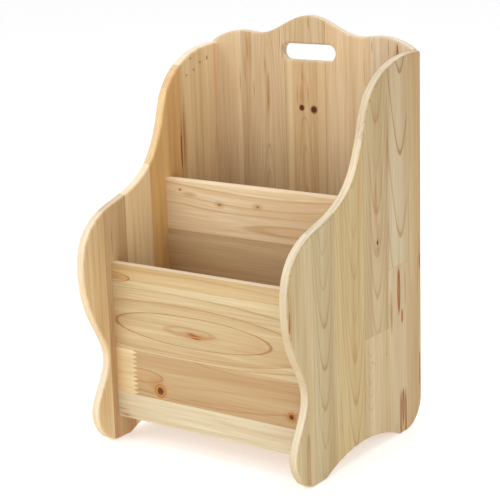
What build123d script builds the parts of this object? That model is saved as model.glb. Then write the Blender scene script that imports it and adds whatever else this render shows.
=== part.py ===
# Wooden magazine rack: two shaped sides, a back with a hand hole, a low front, a divider and a pocket floor.
# Every board is glued up from narrow softwood staves, and the boards meet on hidden dowels.
# Units are millimetres. +X runs across the rack to its right side, +Y to its back and +Z up.
# The origin is on the floor, under the middle of the rack.
import os

from build123d import *

# Overall sizes
rack_width = 300.0
rack_depth = 290.0
rack_height = 500.0
board = 12.0

# Heights
side_top = 462.5
back_shoulder = 478.6
back_dip = 476.6
back_end = 465.0
floor_underside = 37.0
front_bottom = 28.5
front_top = 224.0
divider_top = 307.0

# Places from front to back
front_face = -95.2
divider_face = 15.3

# Sides
lip = 4.5                 # wood left outside the rebate that holds the back
arch_height = 19.0
front_foot_front = -98.0
front_foot_rear = -75.0
rear_foot_front = 93.0
soft_edge = 3.0           # radius on every edge that a hand meets
small_edge = 1.5          # radius under the rack and down its rear corners

# Hand hole in the back
grip_length = 77.0
grip_height = 20.0
grip_centre = 454.8

# Dowels
dowel_radius = 3.0
hole_radius = 3.05
depth_in_face = 8.0       # how far a dowel goes into the face of a board
depth_in_edge = 16.0      # how far a dowel goes into the edge of a board
glue_gap = 0.8            # free space past each end of a dowel
front_dowel_heights = (45.0, 90.0, 145.0, 200.0)
floor_end_dowels = (-70.0, 0.0, 40.0, 120.0)
floor_edge_dowels = (-108.0, 0.0, 108.0)

# Glue lines between the staves of each board, and end joints in a stave made of two lengths
left_glue_lines = (-105.0, -64.0, -14.0, 27.5, 52.0, 97.0)
right_glue_lines = (-95.6, -50.3, 12.6, 66.3, 112.0)
right_end_joints = {4: 142.0, 5: 214.0}
back_glue_lines = (-102.0, -35.5, 25.0, 88.0)
grip_stave = 3            # the stave of the back that the hand hole cuts right through
front_glue_lines = (62.0, 118.0)
jointed_stave = 2         # the stave of the front that has a finger joint
divider_staves = 4
floor_staves = 4
finger_root = -113.0
finger_length = 8.0
finger_count = 10

# Worked out from the sizes above
half_width = rack_width / 2
half_depth = rack_depth / 2
inner_face = half_width - board
back_half_width = half_width - lip
back_face = half_depth - board
floor_top = floor_underside + board
rear_radius = floor_underside
reach = 1000.0            # larger than the rack, for cutting through it

os.makedirs("parts", exist_ok=True)


def block(low, high):
    """A box between two opposite corners."""
    size = [b - a for a, b in zip(low, high)]
    return Pos(*low) * Box(*size, align=(Align.MIN, Align.MIN, Align.MIN))


def evenly(low, high, count):
    """The inner limits of a span cut into equal lengths."""
    return [low + (high - low) * i / count for i in range(1, count)]


def rod(start, direction, length, radius):
    """A round rod from a point along an axis."""
    return extrude(Plane(start, z_dir=direction) * Circle(radius), length)


def dowel(face_point, direction):
    """A dowel whose direction points from the face of one board into the edge of the other."""
    back = Vector(*face_point) - Vector(*direction) * depth_in_face
    return rod(back, direction, depth_in_face + depth_in_edge, dowel_radius)


def dowel_hole(face_point, direction):
    """The drilling for that dowel, through both boards."""
    back = Vector(*face_point) - Vector(*direction) * (depth_in_face + glue_gap)
    return rod(back, direction, depth_in_face + depth_in_edge + 2 * glue_gap, hole_radius)


def save(shape, node):
    """Write one piece, or one group of like pieces, to its own file."""
    export_step(shape, f"parts/{node}.step")


def part_staves(panel, axis, glue_lines):
    """Saw a board along its glue lines, which are places on one axis, into its staves in order."""
    staves = []
    limits = [-reach, *glue_lines, reach]
    for low, high in zip(limits, limits[1:]):
        low_corner = [-reach, -reach, -reach]
        high_corner = [reach, reach, reach]
        low_corner[axis] = low
        high_corner[axis] = high
        staves.append(panel & block(low_corner, high_corner))
    return staves


# Dowels: each group is a list of (point where the two boards meet, direction into the board's edge)
front_middle = front_face + board / 2
divider_middle = divider_face + board / 2
floor_middle = floor_underside + board / 2
divider_limits = [floor_top, *evenly(floor_top, divider_top, divider_staves), divider_top]
divider_dowel_heights = [(a + b) / 2 for a, b in zip(divider_limits, divider_limits[1:])]

dowel_groups = {
    "front_panel_dowels": [
        ((hand * inner_face, front_middle, z), (-hand, 0, 0)) for hand in (-1, 1) for z in front_dowel_heights
    ],
    "divider_dowels": [
        ((hand * inner_face, divider_middle, z), (-hand, 0, 0)) for hand in (-1, 1) for z in divider_dowel_heights
    ],
    "floor_end_dowels": [
        ((hand * inner_face, y, floor_middle), (-hand, 0, 0)) for hand in (-1, 1) for y in floor_end_dowels
    ],
    "floor_front_dowels": [((x, front_face + board, floor_middle), (0, 1, 0)) for x in floor_edge_dowels],
    "floor_back_dowels": [((x, back_face, floor_middle), (0, -1, 0)) for x in floor_edge_dowels],
}
drillings = [dowel_hole(*place) for group in dowel_groups.values() for place in group]


# Sides
def side_outline():
    """The side seen from the end of the rack, as (place from front to back, height)."""
    front_curve = Spline(
        (half_depth, side_top),
        (88, 457.6),
        (49, 440.3),
        (24.4, 412.6),
        (12.2, 377.8),
        (-14.2, 329.3),
        (-62.3, 301.3),
        (-114.7, 282.2),
        (-138.4, 256),
        (-half_depth, 221),
        (-130.3, 158.3),
        (-108.2, 105.3),
        (-119.8, 73.5),
        (-133.1, 41),
        (-122, 13),
        (front_foot_front, 0),
    )
    arch_middle = ((front_foot_rear + rear_foot_front) / 2, arch_height)
    rear_corner = half_depth - rear_radius
    return Curve() + [
        front_curve,
        Line((front_foot_front, 0), (front_foot_rear, 0)),
        ThreePointArc((front_foot_rear, 0), arch_middle, (rear_foot_front, 0)),
        Line((rear_foot_front, 0), (rear_corner, 0)),
        RadiusArc((rear_corner, 0), (half_depth, rear_radius), -rear_radius),
        Line((half_depth, rear_radius), (half_depth, side_top)),
    ]


def side_board():
    """The whole right side with its edges worked and its rebate for the back, before drilling."""
    face = Plane.YZ * make_face(side_outline())
    panel = Pos(inner_face, 0, 0) * extrude(face, board)
    on_faces = panel.edges().filter_by(lambda e: e.bounding_box().size.X < small_edge)
    front_edges = on_faces.filter_by(lambda e: e.length > rack_height or e.center().Y < front_foot_rear)
    panel = fillet(front_edges, soft_edge)
    on_faces = panel.edges().filter_by(lambda e: e.bounding_box().size.X < small_edge)
    lower_edges = on_faces.filter_by(lambda e: e.center().Y > front_foot_rear and e.bounding_box().min.Z < rear_radius)
    panel = fillet(lower_edges, small_edge)
    rebate = block((0, back_face, floor_underside), (back_half_width, reach, reach))
    return panel - rebate


right_side = side_board()
left_side = mirror(right_side, Plane.YZ) - drillings
right_side = right_side - drillings

for number, stave in enumerate(part_staves(left_side, 1, left_glue_lines), 1):
    save(stave, f"left_side_stave_{number}")

for number, stave in enumerate(part_staves(right_side, 1, right_glue_lines), 1):
    if number in right_end_joints:
        lower, upper = part_staves(stave, 2, [right_end_joints[number]])
        save(lower, f"right_side_stave_{number}_lower")
        save(upper, f"right_side_stave_{number}_upper")
    else:
        save(stave, f"right_side_stave_{number}")


# Back
def back_board():
    """The back with its wavy top, its hand hole and its worked edges."""
    half_top = [(0, rack_height), (25.5, 493.8), (48, 483), (70, back_dip), (99, back_shoulder), (125, 474.6)]
    left_top = [(-x, z) for x, z in reversed(half_top[1:])]
    top_curve = Spline((-back_half_width, back_end), *left_top, *half_top, (back_half_width, back_end))
    outline = Curve() + [
        top_curve,
        Line((back_half_width, back_end), (back_half_width, floor_underside)),
        Line((back_half_width, floor_underside), (-back_half_width, floor_underside)),
        Line((-back_half_width, floor_underside), (-back_half_width, back_end)),
    ]
    face = make_face(outline) - Pos(0, grip_centre) * SlotOverall(grip_length, grip_height)
    panel = Pos(0, half_depth, 0) * extrude(Plane.XZ * face, board)
    on_faces = panel.edges().filter_by(lambda e: e.bounding_box().size.Y < small_edge)
    worked = on_faces.filter_by(lambda e: e.center().Z > grip_centre - grip_height and e.length < rack_height)
    worked = worked.filter_by(lambda e: e.bounding_box().min.Z > floor_underside + grip_height)
    return fillet(worked, soft_edge)


for number, stave in enumerate(part_staves(back_board() - drillings, 0, back_glue_lines), 1):
    if number == grip_stave:
        below, above = part_staves(stave, 2, [grip_centre])
        save(below, f"back_stave_{number}_below_grip")
        save(above, f"back_stave_{number}_above_grip")
    else:
        save(stave, f"back_stave_{number}")


# Front, divider and pocket floor
def long_edges(panel, heights):
    """The edges that run along the rack's width at some heights."""
    along = panel.edges().filter_by(Axis.X)
    return along.filter_by(lambda e: any(abs(e.center().Z - z) < small_edge for z in heights))


def finger_cutter(low, high):
    """A block whose right-hand side is the row of fingers, for parting one stave into two lengths."""
    pitch = (high - low) / finger_count
    zigzag = [(finger_root, low)]
    for i in range(finger_count):
        zigzag.append((finger_root + finger_length, low + (i + 0.5) * pitch))
        zigzag.append((finger_root, low + (i + 1) * pitch))
    corners = [(-reach, low), *zigzag, (-reach, high)]
    return Pos(0, reach, 0) * extrude(Plane.XZ * make_face(Polyline(*corners, close=True)), 2 * reach)


front = block((-inner_face, front_face, front_bottom), (inner_face, front_face + board, front_top))
front = fillet(long_edges(front, (front_bottom, front_top)), soft_edge) - drillings
for number, stave in enumerate(part_staves(front, 2, front_glue_lines), 1):
    if number == jointed_stave:
        cutter = finger_cutter(*front_glue_lines)
        save(stave & cutter, f"front_stave_{number}_left")
        save(stave - cutter, f"front_stave_{number}_right")
    else:
        save(stave, f"front_stave_{number}")

divider = block((-inner_face, divider_face, floor_top), (inner_face, divider_face + board, divider_top))
divider = fillet(long_edges(divider, (divider_top,)), soft_edge) - drillings
for number, stave in enumerate(part_staves(divider, 2, divider_limits[1:-1]), 1):
    save(stave, f"divider_stave_{number}")

floor_front = front_face + board
floor = block((-inner_face, floor_front, floor_underside), (inner_face, back_face, floor_top)) - drillings
for number, stave in enumerate(part_staves(floor, 1, evenly(floor_front, back_face, floor_staves)), 1):
    save(stave, f"floor_stave_{number}")

for node, places in dowel_groups.items():
    save(Compound(children=[dowel(*place) for place in places]), node)
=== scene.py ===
import math
import random

import bmesh
import bpy
from mathutils import Matrix, Vector


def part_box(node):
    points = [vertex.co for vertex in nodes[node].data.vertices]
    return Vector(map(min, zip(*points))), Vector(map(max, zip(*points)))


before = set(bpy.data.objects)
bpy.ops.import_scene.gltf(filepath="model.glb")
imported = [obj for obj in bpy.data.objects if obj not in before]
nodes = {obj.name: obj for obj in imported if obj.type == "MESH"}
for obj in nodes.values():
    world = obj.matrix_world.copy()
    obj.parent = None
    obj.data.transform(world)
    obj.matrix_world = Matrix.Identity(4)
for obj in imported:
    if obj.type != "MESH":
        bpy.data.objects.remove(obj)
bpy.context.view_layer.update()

dowelNodes = [name for name in nodes if name.endswith("_dowels")]
print("frame loaded:", len(nodes), "pieces")


# sRGB hex to the linear colour that a shader socket takes
def toLinear(hexText):
    values = [int(hexText[i:i + 2], 16) / 255 for i in (1, 3, 5)]
    return tuple(v / 12.92 if v < 0.04045 else ((v + 0.055) / 1.055) ** 2.4 for v in values) + (1.0,)


# adds a shader node with its settings; links gives a socket, by name or number, a value or another node's
# output. A Map Range counts value, from min, from max, to min, to max, and a Mix has its colours at 6 and 7
def add(tree, kind, links=None, **settings):
    node = tree.nodes.new("ShaderNode" + kind)
    for name, value in settings.items():
        setattr(node, name, value)
    for socket, value in (links or {}).items():
        if isinstance(value, bpy.types.NodeSocket):
            tree.links.new(value, node.inputs[socket])
        else:
            node.inputs[socket].default_value = value
    return node


# a new ramp has two stops, so one of them goes, the other is moved and the rest are made
def fillRamp(node, stops):
    elements = node.color_ramp.elements
    elements.remove(elements[1])
    elements[0].position, elements[0].color = stops[0]
    for position, colour in stops[1:]:
        elements.new(position).color = colour


# an empty node group with its vector and number inputs; every output is a number
def startGroup(name, vectors, numbers, outputs):
    group = bpy.data.node_groups.new(name, "ShaderNodeTree")
    for kind, sockets in (("Vector", vectors), ("Float", numbers)):
        for socket in sockets:
            group.interface.new_socket(socket, in_out="INPUT", socket_type="NodeSocket" + kind)
    for socket in outputs:
        group.interface.new_socket(socket, in_out="OUTPUT", socket_type="NodeSocketFloat")
    return group, group.nodes.new("NodeGroupInput").outputs, group.nodes.new("NodeGroupOutput").inputs


# noises in the wood: mm across the grain, mm along it, and detail. Sway and ripple bend the rings, and the
# others are seen as they are
grainNoises = {
    "sway": (60, 260, 1.0),
    "ripple": (9, 60, 2.0),
    "fibre": (1.1, 70, 4.0),
    "streak": (4.5, 320, 3.0),
    "band": (24, 500, 2.0),
}
rippleDepth = 1.2  # mm
widthsPerYear = 0.37  # how fast the rings' widths change from one year to the next
# how dark a ring is across one year's growth: earlywood darkens slowly, then the latewood line ends sharply
yearProfile = ((0.0, 0.0), (0.45, 0.04), (0.78, 0.25), (0.88, 1.0), (0.96, 0.9), (1.0, 0.0))
ringSettings = ("ringWidth", "phase", "thin", "uneven", "faintest", "taper", "slope", "slopeAt", "sway")


# growth rings of the log that a stave was sawn from: "field" is a distance from the log's pith, in mm,
# and a thin dark latewood line lies wherever it has grown by one ring width
def makeGrainGroup():
    g, inn, out = startGroup("growthRings", ("point", "pith"), ringSettings + ("seed", "pull"),
                             ("ring", "fibre", "streak", "band"))
    bends = {"sway": inn["sway"], "ripple": rippleDepth}
    moved = inn["point"]
    for name, (acrossSize, alongSize, detail) in grainNoises.items():
        start = inn["point"] if name in bends else moved
        perSize = (1 / acrossSize, 1 / acrossSize, 1 / alongSize)
        at = add(g, "VectorMath", {0: start, 1: perSize}, operation="MULTIPLY").outputs[0]
        noise = add(g, "TexNoise", {"Vector": at, "W": inn["seed"], "Scale": 1.0, "Detail": detail},
                    noise_dimensions="4D").outputs
        if name in bends:
            offset = add(g, "VectorMath", {0: noise["Color"], 1: (0.5, 0.5, 0.5)}, operation="SUBTRACT")
            offset = add(g, "VectorMath", {0: offset.outputs[0], "Scale": bends[name]}, operation="SCALE")
            moved = add(g, "VectorMath", {0: moved, 1: offset.outputs[0]}, operation="ADD").outputs[0]
        else:
            g.links.new(noise[0], out[name])

    across = add(g, "VectorMath", {0: moved, 1: inn["pith"]}, operation="SUBTRACT").outputs[0]
    across = add(g, "SeparateXYZ", {0: across}).outputs
    along = add(g, "SeparateXYZ", {0: inn["point"]}).outputs["Z"]
    fromTurn = add(g, "Math", {0: along, 1: inn["slopeAt"]}, operation="SUBTRACT").outputs[0]
    sloped = add(g, "Math", {0: fromTurn, 1: inn["slope"]}, operation="MULTIPLY").outputs[0]
    outward = add(g, "CombineXYZ", {0: across["X"], 1: across["Y"], 2: sloped}).outputs[0]
    field = add(g, "VectorMath", {0: outward}, operation="LENGTH").outputs["Value"]
    field = add(g, "Math", {0: fromTurn, 1: inn["taper"], 2: field}, operation="MULTIPLY_ADD").outputs[0]
    field = add(g, "Math", {0: field, 1: inn["pull"]}, operation="ADD").outputs[0]
    rings = add(g, "Math", {0: field, 1: inn["ringWidth"]}, operation="DIVIDE").outputs[0]
    rings = add(g, "Math", {0: rings, 1: inn["phase"]}, operation="ADD").outputs[0]
    years = add(g, "Math", {0: rings, 1: widthsPerYear, 2: inn["seed"]}, operation="MULTIPLY_ADD")
    uneven = add(g, "TexNoise", {"W": years.outputs[0], "Scale": 1.0, "Detail": 1.0},
                 noise_dimensions="1D").outputs[0]
    rings = add(g, "Math", {0: uneven, 1: inn["uneven"], 2: rings}, operation="MULTIPLY_ADD").outputs[0]
    phase = add(g, "Math", {0: rings}, operation="FRACT").outputs[0]
    phase = add(g, "Math", {0: phase, 1: inn["thin"]}, operation="POWER").outputs[0]
    year = add(g, "Math", {0: rings}, operation="FLOOR").outputs[0]
    year = add(g, "Math", {0: year, 1: inn["seed"]}, operation="ADD").outputs[0]
    strength = add(g, "TexWhiteNoise", {"W": year}, noise_dimensions="1D").outputs["Value"]
    strength = add(g, "MapRange", {0: strength, 3: inn["faintest"], 4: 1.0}).outputs[0]
    late = add(g, "ValToRGB", {0: phase})
    fillRamp(late, [(place, (dark, dark, dark, 1)) for place, dark in yearProfile])
    ring = add(g, "Math", {0: late.outputs["Color"], 1: strength}, operation="MULTIPLY").outputs[0]
    g.links.new(ring, out["ring"])
    return g


outlineWaves = (0.45, 0.45, 0.09)  # waves per mm in a spot's rough outline
bendFade = 0.3  # how fast the bend of the rings fades with distance from a spot


# how far a point is from the middle of a knot or a streak, 1 at its rim, and how the rings bend round it
def makeSpotGroup():
    g, inn, out = startGroup("spotDistance", ("point", "centre", "perSize"), ("ragged", "bend"),
                             ("distance", "pull"))
    away = add(g, "VectorMath", {0: inn["point"], 1: inn["centre"]}, operation="SUBTRACT").outputs[0]
    scaled = add(g, "VectorMath", {0: away, 1: inn["perSize"]}, operation="MULTIPLY").outputs[0]
    plain = add(g, "VectorMath", {0: scaled}, operation="LENGTH").outputs["Value"]
    noiseAt = add(g, "VectorMath", {0: inn["point"], 1: outlineWaves}, operation="MULTIPLY").outputs[0]
    noise = add(g, "TexNoise", {"Vector": noiseAt, "Scale": 1.0, "Detail": 3.0}).outputs[0]
    rough = add(g, "Math", {0: noise, 1: 0.5}, operation="SUBTRACT").outputs[0]
    distance = add(g, "Math", {0: rough, 1: inn["ragged"], 2: plain}, operation="MULTIPLY_ADD").outputs[0]
    squared = add(g, "Math", {0: plain, 1: plain}, operation="MULTIPLY").outputs[0]
    fade = add(g, "Math", {0: squared, 1: -bendFade}, operation="MULTIPLY").outputs[0]
    fade = add(g, "Math", {0: fade}, operation="EXPONENT").outputs[0]
    pull = add(g, "Math", {0: fade, 1: inn["bend"]}, operation="MULTIPLY").outputs[0]
    g.links.new(distance, out["distance"])
    g.links.new(pull, out["pull"])
    return g


grainGroup = makeGrainGroup()
spotGroup = makeSpotGroup()
print("grain and spots ready")

# what is drawn round a spot's middle: distance (1 is the size given for it), colour and cover.
# "ragged" roughens its outline, and "bend" pushes the rings round it, as a share of its width
spotKinds = {
    "knot": {"ragged": 0.3, "bend": 0.9, "look": [
        (0.0, "#8a4e1c", 1.0), (0.12, "#481400", 1.0), (0.28, "#552400", 1.0), (0.36, "#8c5818", 1.0),
        (0.44, "#421a00", 1.0), (0.52, "#66380c", 0.95), (0.6, "#bb8038", 0.7), (0.78, "#b87424", 0.55),
        (0.9, "#985010", 0.75), (1.0, "#b06c20", 0.5), (1.2, "#c08840", 0.0)]},
    "deadKnot": {"ragged": 0.24, "bend": 1.2, "look": [
        (0.0, "#7c3c10", 1.0), (0.25, "#521c00", 1.0), (0.55, "#481600", 1.0), (0.7, "#6e3406", 0.95),
        (0.88, "#8c5014", 0.7), (1.2, "#a87030", 0.0)]},
    "streak": {"ragged": 0.3, "bend": 0.0, "look": [
        (0.0, "#aa6820", 0.85), (0.45, "#9a5404", 0.95), (0.8, "#7a3c00", 1.0), (1.05, "#98642a", 0.0)]},
    "line": {"ragged": 0.4, "bend": 0.0, "look": [
        (0.0, "#8c5010", 0.6), (0.55, "#945c1c", 0.4), (1.0, "#a0703e", 0.0)]},
    "pin": {"ragged": 0.5, "bend": 0.5, "look": [
        (0.0, "#683404", 0.85), (0.5, "#845418", 0.6), (1.0, "#a87840", 0.0)]},
    "stain": {"ragged": 0.35, "bend": 0.0, "look": [
        (0.0, "#a06420", 0.45), (0.6, "#a87030", 0.28), (1.1, "#b07c44", 0.0)]},
    "pale": {"ragged": 0.12, "bend": 0.0, "look": [
        (0.0, "#e0cba0", 0.5), (0.8, "#e0cba0", 0.45), (1.0, "#e0cba0", 0.0)]},
    "haze": {"ragged": 0.12, "bend": 0.0, "look": [
        (0.0, "#dcc698", 0.3), (0.7, "#dcc698", 0.26), (1.0, "#dcc698", 0.0)]},
    "tan": {"ragged": 0.1, "bend": 0.0, "look": [
        (0.0, "#c09458", 0.36), (0.9, "#c09458", 0.34), (0.97, "#a87434", 0.42), (1.0, "#c09458", 0.0)]},
    "loop": {"ragged": 0.04, "bend": 0.0, "look": [
        (0.0, "#8a5010", 0.0), (0.95, "#a86c28", 0.05), (0.983, "#8e5008", 0.66),
        (0.998, "#8e5008", 0.66), (1.014, "#a87038", 0.0)]},
    "warmth": {"ragged": 0.1, "bend": 0.0, "look": [
        (0.0, "#c4925a", 0.42), (0.5, "#c4925a", 0.3), (1.1, "#c4925a", 0.0)]},
    "arc": {"ragged": 0.04, "bend": 0.0, "look": [
        (0.0, "#9c6018", 0.04), (0.96, "#9c6018", 0.08), (0.985, "#985810", 0.42),
        (0.998, "#985810", 0.38), (1.012, "#a87038", 0.0)]},
    "softLoop": {"ragged": 0.08, "bend": 0.0, "look": [
        (0.0, "#b87c34", 0.08), (0.84, "#b87c34", 0.2), (0.94, "#9a5c14", 0.55), (0.99, "#9a5c14", 0.5),
        (1.05, "#b07834", 0.0)]},
    "core": {"ragged": 0.7, "bend": 0.0, "look": [
        (0.0, "#984c08", 0.95), (0.5, "#9a5410", 0.85), (0.8, "#a86c28", 0.45), (1.05, "#b47c44", 0.0)]},
}
spotReach = 1.25  # distance at which every spot has faded out

# the rack's boards. axes: across a stave, through the board and along the grain. face: the side of the
# board that pith depths count from, 0 the low side of the axis and 1 the high one. The left side's stave
# colours hold painted light of the rack's inside, brightened against its shade and warmed by the light
# reflected there, so on the other side they are all brought nearer to one tone
boards = {
    "right_side": {"axes": "YXZ", "face": 1},
    "left_side": {"axes": "YXZ", "face": 1, "outerTone": "#cdb88c", "outerShare": 0.65},
    "back": {"axes": "XYZ", "face": 0},
    "front": {"axes": "ZYX", "face": 0},
    "divider": {"axes": "ZYX", "face": 0},
    "floor": {"axes": "YZX", "face": 1},
}

# what a stave starts from; its own entry says what differs. Lengths are mm
plainStave = {
    "pale": "#d9c09a", "warm": "#cba87c",  # warm shows in bands over pale
    "phase": 0.0, "thin": 1.0,  # moves the rings by a share of their width, and narrows the latewood lines
    "uneven": 1.6, "faintest": 0.1, "sway": 7.0,  # how rings differ in width and strength, and wander
    "slope": 0.0, "slopeAt": 0.0,  # above 0, slope closes the rings into long loops round slopeAt
    "ringDepth": 0.28, "streaks": 0.32, "fibre": 0.32, "edge": 0.6,  # how strongly each of these shows
    "spots": (),
}
# what is drawn by lot for a stave whose entry doesn't give it
byLot = {
    "pithAcross": (-30, 30), "pithBehind": (25, 70), "taper": (0.004, 0.014), "ringWidth": (2.6, 4.4),
}
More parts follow.
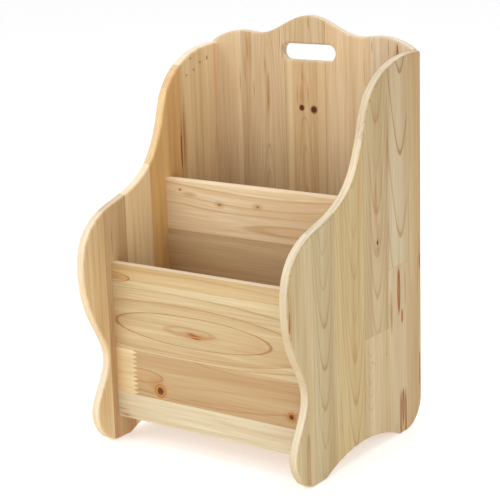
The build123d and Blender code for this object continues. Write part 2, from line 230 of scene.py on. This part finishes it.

# pith is the log's centre, across the stave and behind its face. taper is how much a ring's radius shrinks
# for each mm along the grain, counted from slopeAt. A spot is its kind, its place across and along, its half
# width and its half length
# each stave's pale and warm colours were matched to its seen tone under this scene's light, so where shade
# or reflected light fell on a stave, some of it is painted into these colours
staves = {
    "right_side_stave_1": {
        "pale": "#c8b78f", "warm": "#b69e6f", "pith": (-110, 40), "taper": 0.006, "ringWidth": 2.6,
        "ringDepth": 0.5,
        "spots": (("streak", -141.2, 203, 1.1, 13), ("stain", -139, 204, 4, 34)),
    },
    "right_side_stave_2": {
        "pale": "#c4b791", "warm": "#b6a175", "pith": (-73, 40), "taper": -0.05, "slopeAt": 41,
        "ringWidth": 2.2, "phase": 0.75, "thin": 1.3, "uneven": 0.3, "faintest": 0.15, "sway": 2.5,
        "ringDepth": 0.62, "streaks": 0.24,
    },
    "right_side_stave_3": {
        "pale": "#cdbc8f", "warm": "#bda36d", "pith": (-9, 20), "taper": -0.088, "slopeAt": 121,
        "ringWidth": 4.5, "phase": 0.46, "uneven": 0.1, "faintest": 0.3, "sway": 3.0, "ringDepth": 0.5,
        "spots": (("line", -40, 66, 0.9, 42), ("stain", -9, 132, 3, 20)),
    },
    "right_side_stave_4_upper": {
        "pale": "#cab994", "warm": "#b69f73", "pith": (42, 24), "taper": -0.08, "slopeAt": 286,
        "ringWidth": 4.0, "phase": 0.9, "uneven": 0.1, "faintest": 0.3, "sway": 3.0, "ringDepth": 0.5,
        "edge": 0.42,
        "spots": (("stain", 40, 300, 3.5, 40), ("line", 40, 312, 1.6, 26), ("stain", 44, 255, 3, 24),
                  ("deadKnot", 43, 252, 2.2, 3.4), ("line", 47.5, 268, 0.9, 12),
                  ("line", 65, 350, 1.2, 60)),
    },
    "right_side_stave_4_lower": {
        "pale": "#d2c39d", "warm": "#c2aa80", "pith": (25, 20), "taper": -0.14, "slopeAt": 51,
        "ringWidth": 2.4, "phase": 0.57, "uneven": 0.1, "faintest": 0.05, "sway": 2.0,
        "ringDepth": 0.36,
        "spots": (("pin", 29, 110, 1.8, 1.5), ("pin", 34, 107, 1.5, 1.2), ("pin", 27, 104, 1.4, 1.0),
                  ("pin", 61, 112, 1.6, 1.6)),
    },
    "right_side_stave_5_upper": {
        "pale": "#cabd9b", "warm": "#bda782", "pith": (96, 16), "taper": -0.16, "slopeAt": 348,
        "ringWidth": 15.2, "phase": 0.9, "thin": 2.6, "uneven": 0.0, "faintest": 0.75, "sway": 2.5,
        "ringDepth": 0.9,
        "spots": (("line", 67.6, 365, 2.6, 60), ("line", 68, 250, 1.0, 60)),
    },
    "right_side_stave_5_lower": {
        "pale": "#ccbb96", "warm": "#bca27b", "pith": (84, 30), "taper": 0.012, "ringWidth": 3.4,
        "spots": (("streak", 91, 182, 3.8, 30), ("streak", 98.5, 149, 2.4, 9),
                  ("line", 106, 182, 1.6, 34), ("stain", 72.5, 162, 5, 30), ("stain", 73, 160, 4, 26),
                  ("line", 74.5, 152, 1.4, 24), ("streak", 94.6, 18, 2.0, 38),
                  ("streak", 106.4, 16, 2.2, 42), ("streak", 100.4, 34, 3.2, 24),
                  ("stain", 100, 8, 6, 30), ("line", 85, 8, 1.0, 12)),
    },
    "right_side_stave_6": {
        "pale": "#c5b085", "warm": "#b69767", "pith": (170, 30), "taper": 0.006, "ringWidth": 2.8,
        "ringDepth": 0.6, "faintest": 0.2,
        "spots": (("streak", 141, 208, 1.6, 10), ("line", 136, 185, 1.6, 34),
                  ("streak", 141, 70, 1.4, 24), ("stain", 139, 216, 5, 30)),
    },
    # painted light: the left side's colours are brightened against the shade inside the rack and warmed by
    # the light reflected there
    "left_side_stave_1": {"pale": "#e9d3a8", "warm": "#d7b788"},
    "left_side_stave_2": {
        "pale": "#d4b78d", "warm": "#be9768", "edge": 0.45,
        "spots": (("line", -92, 250, 1.2, 26),),
    },
    "left_side_stave_3": {"pale": "#fde8c1", "warm": "#eacc99"},
    "left_side_stave_4": {
        "pale": "#eac786", "warm": "#e3ba7b", "pith": (8, 60), "ringWidth": 4.5, "edge": 0.3,
    },
    "left_side_stave_5": {
        "pale": "#edc990", "warm": "#d29e62", "pith": (30, 40), "ringWidth": 2.4, "faintest": 0.3,
        "edge": 0.2,
        "spots": (("line", 50.8, 345, 1.6, 52), ("streak", 50, 336, 1.6, 24)),
    },
    "left_side_stave_6": {
        "pale": "#f2dbae", "warm": "#ddb988", "edge": 0.85,
        "spots": (("line", 56, 352, 2.4, 48), ("stain", 58, 345, 6, 60), ("pin", 81, 433, 2.6, 2.0),
                  ("pin", 94, 441, 2.8, 2.0), ("pin", 75, 448, 2.2, 1.6), ("pin", 66, 428, 2.4, 1.8)),
    },
    "left_side_stave_7": {
        "pale": "#f7e0b6", "warm": "#f7d4aa", "edge": 0.95,
        "spots": (("pin", 109, 445, 2.4, 3.6),),
    },
    "back_stave_1": {
        "pale": "#ead6b6", "warm": "#ddc29a", "ringDepth": 0.18, "streaks": 0.2,
        "spots": (("line", -104, 415, 0.9, 20),),
    },
    "back_stave_2": {
        "pale": "#dcc6a3", "warm": "#ceb38c", "pith": (-62, 12), "taper": 0.05, "ringWidth": 3.2,
        "faintest": 0.2, "ringDepth": 0.4,
        "spots": (("line", -65, 436, 1.3, 16), ("line", -60.8, 414, 1.2, 16),
                  ("line", -61.2, 393, 1.5, 14), ("line", -92, 458, 1.2, 22),
                  ("line", -83, 405, 1.1, 16), ("line", -96, 430, 1.0, 22),
                  ("line", -38.3, 454.8, 2.2, 11), ("stain", -88, 455, 4, 40),
                  ("stain", -61, 400, 4, 34), ("line", -42, 470, 1.0, 20)),
    },
    "back_stave_3_below_grip": {
        "pale": "#dfc79d", "warm": "#caa473", "pith": (-6, 12), "taper": 0.05, "ringWidth": 3.4,
        "faintest": 0.3, "ringDepth": 0.4,
        "spots": (("pale", 18, 400, 6, 900), ("pale", -28, 400, 4.5, 900),
                  ("stain", -10.5, 400, 4.5, 16), ("line", -9.8, 428, 1.0, 18),
                  ("line", -1.5, 402, 1.1, 17), ("line", -17, 400, 1.0, 14),
                  ("deadKnot", -11, 385.8, 4.2, 4.2), ("deadKnot", 7, 384.5, 5.3, 5.3)),
    },
    "back_stave_3_above_grip": {
        "pale": "#d6c19c", "warm": "#c2a175", "pith": (-8, 14), "taper": 0.05, "ringWidth": 3.0,
        "ringDepth": 0.5,
        "spots": (("line", 1, 491, 1.2, 9), ("stain", 26, 488, 3, 8)),
    },
    "back_stave_4": {
        "pale": "#e6cea9", "warm": "#d9bb91", "ringDepth": 0.22,
        "spots": (("line", 80, 440, 0.9, 30),),
    },
    "back_stave_5": {
        "pale": "#deccaf", "warm": "#d4bb98", "ringDepth": 0.2,
        "spots": (("line", 91, 466, 1.2, 10), ("streak", 126, 456, 1.5, 16), ("stain", 124, 452, 5, 26),
                  ("line", 114, 466, 1.0, 14)),
    },
    "front_stave_1": {
        "pale": "#e1dbbf", "warm": "#d2c09e", "pith": (45, 60), "taper": 0.004, "ringWidth": 3.4,
        "ringDepth": 0.3,
        "spots": (("stain", 33, -125, 2.6, 12), ("line", 33, -126, 1.4, 6),
                  ("line", 40, -132, 0.9, 14)),
    },
    "front_stave_2_left": {
        "pale": "#ead9b0", "warm": "#deca9e", "pith": (60, 20), "taper": 0.01, "ringWidth": 2.6,
        "ringDepth": 0.14,
        # the warmth spot at the left end is painted warm reflected light and shade from the left side
        "spots": (("warmth", 90, -142, 60, 30),),
    },
    "front_stave_2_right": {
        "pale": "#c7ae86", "warm": "#b9986a", "pith": (-80, 10), "taper": -0.07, "slopeAt": -60,
        "ringWidth": 16.0, "phase": 0.62, "uneven": 0.2, "faintest": 0.3, "sway": 4.0, "ringDepth": 0.2,
        "streaks": 0.16, "fibre": 0.24,
        "spots": (("haze", 131, 60, 19, 110), ("arc", 131, 60, 19, 110), ("arc", 110, -20, 45, 200),
                  ("softLoop", 88.5, -102, 8.4, 36), ("stain", 79, -74, 12, 16),
                  ("knot", 73, -71, 8.6, 8.6), ("stain", 75.6, 118, 8, 14),
                  ("knot", 75.6, 118, 5.4, 5.8)),
    },
    "front_stave_3": {
        "pale": "#dacaa2", "warm": "#c9b288", "pith": (153, 2), "slope": 0.17, "slopeAt": -21,
        "ringWidth": 12.0, "phase": 0.4, "uneven": 0.0, "faintest": 0.15, "sway": 4.0, "ringDepth": 0.4,
        # the warmth spot at the left end is painted warm reflected light and shade from the left side
        "spots": (("tan", 226, -10, 22, 1200), ("warmth", 130, -146, 40, 30),
                  ("loop", 153, -21, 19.0, 115), ("arc", 152, -40, 32, 190), ("arc", 156, -60, 41, 270),
                  ("stain", 150, -17, 7, 38), ("stain", 149.5, -16, 4, 20),
                  ("core", 150.6, -17, 1.5, 13), ("core", 147.2, -13, 1.2, 10),
                  ("core", 152.6, -22, 0.8, 8), ("stain", 207, -138, 5, 26),
                  ("softLoop", 207, -142, 6, 31), ("loop", 207, -142, 6.1, 31.5)),
    },
    "divider_stave_4": {
        "pale": "#f7e6c3", "warm": "#eacaa0", "pith": (262, 12), "taper": 0.01, "ringWidth": 10.0,
        "faintest": 0.3, "sway": 26.0, "ringDepth": 0.5,
        "spots": (("warmth", 275, 80, 40, 110), ("stain", 289.5, -102, 3.6, 14),
                  ("pin", 294, -116, 2.4, 3.4), ("pin", 281, -56, 2.2, 3.0), ("pin", 284, 1, 2.0, 2.8),
                  ("stain", 281, -56, 5, 9), ("stain", 284, 1, 5, 9)),
    },
}


# a piece's limits along one axis, in mm
def axisLimits(node, axis):
    low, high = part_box(node)
    return low["XYZ".index(axis)] * 1000, high["XYZ".index(axis)] * 1000


# where another stave of the same board is glued to this one, in mm along one axis
def glueLines(node, board, axis):
    touching = 0.05
    own = axisLimits(node, axis)
    found = set()
    for other in nodes:
        if other == node or not other.startswith(board) or other in dowelNodes:
            continue
        for limit in axisLimits(other, axis):
            if min(abs(limit - own[0]), abs(limit - own[1])) < touching:
                found.add(round(limit, 1))
    return sorted(found)


# the distance from each of a stave's spots, and how far they push its rings aside in all
def placeSpots(tree, point, spots):
    pull = 0.0
    distances = []
    for kind, spotAcross, spotAlong, halfWidth, halfLength in spots:
        bend = spotKinds[kind]["bend"] * halfWidth
        spot = add(tree, "Group", {
            "point": point, "centre": (spotAcross, 0, spotAlong),
            "perSize": (1 / halfWidth, 0, 1 / halfLength),
            "ragged": spotKinds[kind]["ragged"], "bend": bend,
        }, node_tree=spotGroup).outputs
        distances.append((kind, spot["distance"]))
        if bend:
            pull = add(tree, "Math", {0: pull, 1: spot["pull"]}, operation="ADD").outputs[0]
    return distances, pull


# edges and round-overs are paler than the planed faces, partly from sanding and partly as a painted
# highlight of the lacquer's sheen and of the light from above: most where they look up, little where they
# look down (painted shade). Uneven because the sanding cuts through layers of the wood
sandingAndSheen = {
    "colour": "#f8ecd6",
    "facing": (0.35, 0.8),  # how squarely the surface looks through the board: an edge, and a face
    # painted light from above: surfaces looking up get all of the paleness, and surfaces looking down a
    # fifth of it
    "lookingUp": (-0.6, 0.6), "shareLookingDown": 0.2,
    "layerSize": (60, 1.6, 90),  # mm: across the stave, through the board and along the grain
    "layerRange": (0.35, 0.65), "layerShare": (1.2, 0.6),  # from this noise to this much of the paleness
}


def sandedAndLitShare(tree, point, normal, through, strength, seed):
    low, high = sandingAndSheen["facing"]
    facing = add(tree, "Math", {0: normal[through]}, operation="ABSOLUTE").outputs[0]
    share = add(tree, "MapRange", {0: facing, 1: low, 2: high, 3: strength, 4: 0.0}).outputs[0]
    low, high = sandingAndSheen["lookingUp"]
    least = sandingAndSheen["shareLookingDown"]
    upward = add(tree, "MapRange", {0: normal["Z"], 1: low, 2: high, 3: least, 4: 1.0}).outputs[0]
    share = add(tree, "Math", {0: share, 1: upward}, operation="MULTIPLY").outputs[0]
    perSize = tuple(1 / size for size in sandingAndSheen["layerSize"])
    layersAt = add(tree, "VectorMath", {0: point, 1: perSize}, operation="MULTIPLY").outputs[0]
    layers = add(tree, "TexNoise", {"Vector": layersAt, "W": seed, "Scale": 1.0, "Detail": 2.0},
                 noise_dimensions="4D").outputs[0]
    low, high = sandingAndSheen["layerRange"]
    most, least = sandingAndSheen["layerShare"]
    cut = add(tree, "MapRange", {0: layers, 1: low, 2: high, 3: most, 4: least}).outputs[0]
    return add(tree, "Math", {0: share, 1: cut}, operation="MULTIPLY").outputs[0]


# cedar, planed and clear lacquered: pale earlywood, thin brown latewood lines and a soft satin shine
cedar = {
    "latewood": "#cca86c",
    "bandRange": (0.3, 0.7), "grainRange": (0.35, 0.7),  # where each noise starts to show and shows fully
    "outerFacing": (0.3, 0.8),  # how squarely the surface looks out of the board's other side
    "glue": "#8a5a2a", "glueShare": 0.22, "glueReach": (0.15, 0.6),  # mm from the joint: full, and gone
    "roughness": (0.34, 0.5), "roughnessRange": (0.2, 0.8),
    "ringHeight": 0.6, "bumpStrength": 0.3, "bumpHeight": 0.00012,
    "shine": {"IOR": 1.45, "Specular IOR Level": 0.25, "Coat Weight": 0.04, "Coat Roughness": 0.28},
}


def makeWood(node, board, look, seed):
    material = bpy.data.materials.new("lacqueredCedar_" + node)
    material.use_nodes = True
    tree = material.node_tree
    tree.nodes.clear()
    across, through, along = boards[board]["axes"]
    coords = add(tree, "TexCoord").outputs
    normal = add(tree, "SeparateXYZ", {0: coords["Normal"]}).outputs
    millimetres = add(tree, "VectorMath", {0: coords["Object"], "Scale": 1000.0}, operation="SCALE")
    parts = add(tree, "SeparateXYZ", {0: millimetres.outputs[0]}).outputs
    point = add(tree, "CombineXYZ", {0: parts[across], 1: parts[through], 2: parts[along]}).outputs[0]

    distances, pull = placeSpots(tree, point, look["spots"])
    face = boards[board]["face"]
    inward = 1 - 2 * face
    pithAcross, pithBehind = look["pith"]
    pith = (pithAcross, axisLimits(node, through)[face] + pithBehind * inward, 0)
    rings = {name: look[name] for name in ringSettings}
    grain = add(tree, "Group", {"point": point, "pith": pith, "seed": seed, "pull": pull, **rings},
                node_tree=grainGroup).outputs

    # each layer of colour: how much of it, the colour, and how it goes over the ones before
    low, high = cedar["bandRange"]
    band = add(tree, "MapRange", {0: grain["band"], 1: low, 2: high}).outputs[0]
    layers = [(band, toLinear(look["warm"]), "MIX")]
    # the left side's outer face is blended towards one tone, because its stave colours hold painted shade
    # and reflected light of the rack's inside
    if "outerTone" in boards[board]:
        low, high = cedar["outerFacing"]
        most = boards[board]["outerShare"]
        outward = add(tree, "Math", {0: normal[through], 1: inward}, operation="MULTIPLY").outputs[0]
        outside = add(tree, "MapRange", {0: outward, 1: low, 2: high, 3: 0.0, 4: most}).outputs[0]
        layers.append((outside, toLinear(boards[board]["outerTone"]), "MIX"))
    ringShare = add(tree, "Math", {0: grain["ring"], 1: look["ringDepth"]}, operation="MULTIPLY").outputs[0]
    layers.append((ringShare, toLinear(cedar["latewood"]), "MULTIPLY"))
    low, high = cedar["grainRange"]
    for noise, depth in (("streak", look["streaks"]), ("fibre", look["fibre"])):
        share = add(tree, "MapRange", {0: grain[noise], 1: low, 2: high, 3: 0.0, 4: depth}).outputs[0]
        layers.append((share, toLinear(cedar["latewood"]), "MULTIPLY"))
    low, high = cedar["glueReach"]
    most = cedar["glueShare"]
    for axis in (across, along):
        for line in glueLines(node, board, axis):
            off = add(tree, "Math", {0: parts[axis], 1: line}, operation="SUBTRACT").outputs[0]
            off = add(tree, "Math", {0: off}, operation="ABSOLUTE").outputs[0]
            glue = add(tree, "MapRange", {0: off, 1: low, 2: high, 3: most, 4: 0.0}).outputs[0]
            layers.append((glue, toLinear(cedar["glue"]), "MIX"))
    for kind, distance in distances:
        near = add(tree, "Math", {0: distance, 1: 1 / spotReach}, operation="MULTIPLY").outputs[0]
        ramp = add(tree, "ValToRGB", {0: near})
        stops = spotKinds[kind]["look"]
        fillRamp(ramp, [(rim / spotReach, toLinear(tint)[:3] + (cover,)) for rim, tint, cover in stops])
        layers.append((ramp.outputs["Alpha"], ramp.outputs["Color"], "MIX"))
    # painted highlight and top light, together with the sanding's paleness, laid over the colour
    edge = sandedAndLitShare(tree, point, normal, through, look["edge"], seed)
    layers.append((edge, toLinear(sandingAndSheen["colour"]), "MIX"))
    colour = toLinear(look["pale"])
    for share, tint, blend in layers:
        colour = add(tree, "Mix", {"Factor": share, 6: colour, 7: tint}, data_type="RGBA",
                     blend_type=blend).outputs[2]

    low, high = cedar["roughnessRange"]
    smooth, rough = cedar["roughness"]
    roughness = add(tree, "MapRange", {0: grain["fibre"], 1: low, 2: high, 3: smooth, 4: rough}).outputs[0]
    height = add(tree, "Math", {0: grain["ring"], 1: cedar["ringHeight"], 2: grain["fibre"]},
                 operation="MULTIPLY_ADD").outputs[0]
    bump = add(tree, "Bump", {"Height": height, "Strength": cedar["bumpStrength"],
                              "Distance": cedar["bumpHeight"]}).outputs[0]
    shader = add(tree, "BsdfPrincipled", {"Base Color": colour, "Roughness": roughness, "Normal": bump,
                                          **cedar["shine"]})
    add(tree, "OutputMaterial", {"Surface": shader.outputs[0]})
    return material


firstSeed = 0.5
seedStep = 3.7  # keeps one stave's noises apart from the next one's
for number, node in enumerate(sorted(nodes)):
    if node in dowelNodes:
        continue
    board = next(name for name in boards if node.startswith(name))
    dice = random.Random(node)
    look = dict(plainStave)
    middle = sum(axisLimits(node, boards[board]["axes"][0])) / 2
    look["pith"] = (middle + dice.uniform(*byLot["pithAcross"]), dice.uniform(*byLot["pithBehind"]))
    look["taper"] = dice.uniform(*byLot["taper"]) * dice.choice((-1, 1))
    look["ringWidth"] = dice.uniform(*byLot["ringWidth"])
    look.update(staves.get(node, {}))
    nodes[node].material_slots[0].material = makeWood(node, board, look, number * seedStep + firstSeed)
print("staves finished")

# turned beech dowels, hidden in the joints: plain, matt and finely flecked
dowels = {"pale": "#d8b48a", "fleck": "#b98a5e", "flecksPerMetre": 900, "roughness": 0.6}
beech = bpy.data.materials.new("turnedBeech")
beech.use_nodes = True
beechTree = beech.node_tree
beechTree.nodes.clear()
place = add(beechTree, "TexCoord").outputs["Object"]
fleckAt = add(beechTree, "VectorMath", {0: place, 1: (dowels["flecksPerMetre"],) * 3}, operation="MULTIPLY")
fleck = add(beechTree, "TexNoise", {"Vector": fleckAt.outputs[0], "Scale": 1.0, "Detail": 3.0}).outputs[0]
flecked = add(beechTree, "Mix", {"Factor": fleck, 6: toLinear(dowels["pale"]),
                                 7: toLinear(dowels["fleck"])}, data_type="RGBA").outputs[2]
beechShader = add(beechTree, "BsdfPrincipled", {"Base Color": flecked, "Roughness": dowels["roughness"]})
add(beechTree, "OutputMaterial", {"Surface": beechShader.outputs[0]})
for node in dowelNodes:
    nodes[node].material_slots[0].material = beech
print("dowels finished")

# plain pale floor that turns up into a low wall far behind, so no side shows where it ends
floor = {"radius": 20.0, "wall": 6.0, "sides": 96, "paint": "#f4f4f4", "roughness": 0.9, "glow": 0.4}
floorMesh = bmesh.new()
bmesh.ops.create_circle(floorMesh, cap_ends=True, segments=floor["sides"], radius=floor["radius"])
rim = bmesh.ops.extrude_edge_only(floorMesh, edges=floorMesh.edges[:])["geom"]
rimPoints = [item for item in rim if isinstance(item, bmesh.types.BMVert)]
bmesh.ops.translate(floorMesh, verts=rimPoints, vec=(0, 0, floor["wall"]))
floorData = bpy.data.meshes.new("studioFloor")
floorMesh.to_mesh(floorData)
floorMesh.free()
studioFloor = bpy.data.objects.new("studioFloor", floorData)
bpy.context.scene.collection.objects.link(studioFloor)
floorMaterial = bpy.data.materials.new("paintedFloor")
floorMaterial.use_nodes = True
floorShader = floorMaterial.node_tree.nodes["Principled BSDF"]
floorShader.inputs["Base Color"].default_value = toLinear(floor["paint"])
floorShader.inputs["Roughness"].default_value = floor["roughness"]
floorShader.inputs["Emission Color"].default_value = (1, 1, 1, 1)
floorShader.inputs["Emission Strength"].default_value = floor["glow"]
floorData.materials.append(floorMaterial)
print("studio floor ready")

# soft studio light: a large key from the front left, a weaker fill from the right, a top box and a white
# room round them. Places and sizes are metres, and power is watts
lights = {
    "key": {"place": (-0.9, -2.6, 2.0), "size": 2.2, "power": 30},
    "fill": {"place": (2.6, -0.9, 1.3), "size": 2.0, "power": 9},
    "top": {"place": (0.0, 0.2, 2.8), "size": 2.4, "power": 25},
}
roomBrightness = 0.55
aim = Vector((0, 0, 0.22))  # a little under the rack's middle
for name, light in lights.items():
    data = bpy.data.lights.new(name, "AREA")
    data.size = light["size"]
    data.energy = light["power"]
    lamp = bpy.data.objects.new(name, data)
    lamp.location = light["place"]
    lamp.rotation_euler = (aim - lamp.location).to_track_quat("-Z", "Y").to_euler()
    bpy.context.scene.collection.objects.link(lamp)
room = bpy.data.worlds.new("whiteRoom")
room.use_nodes = True
room.node_tree.nodes["Background"].inputs["Color"].default_value = (1, 1, 1, 1)
room.node_tree.nodes["Background"].inputs["Strength"].default_value = roomBrightness
bpy.context.scene.world = room
bpy.context.scene.view_settings.view_transform = "Standard"
print("lights ready")

# place in metres, angles in degrees, lens in mm
camera = {
    "place": (1.0362, -1.4376, 0.6826), "heading": 35.816, "down": 14.187, "roll": -1.805, "lens": 110.26,
}
cameraData = bpy.data.cameras.new("camera")
cameraData.lens = camera["lens"]
cameraObject = bpy.data.objects.new("camera", cameraData)
turn = Matrix.Rotation(math.radians(camera["heading"]), 4, "Z")
tilt = Matrix.Rotation(math.radians(90 - camera["down"]), 4, "X")
roll = Matrix.Rotation(math.radians(camera["roll"]), 4, "Z")
cameraObject.matrix_world = Matrix.Translation(camera["place"]) @ turn @ tilt @ roll
bpy.context.scene.collection.objects.link(cameraObject)
bpy.context.scene.camera = cameraObject
print("camera ready")
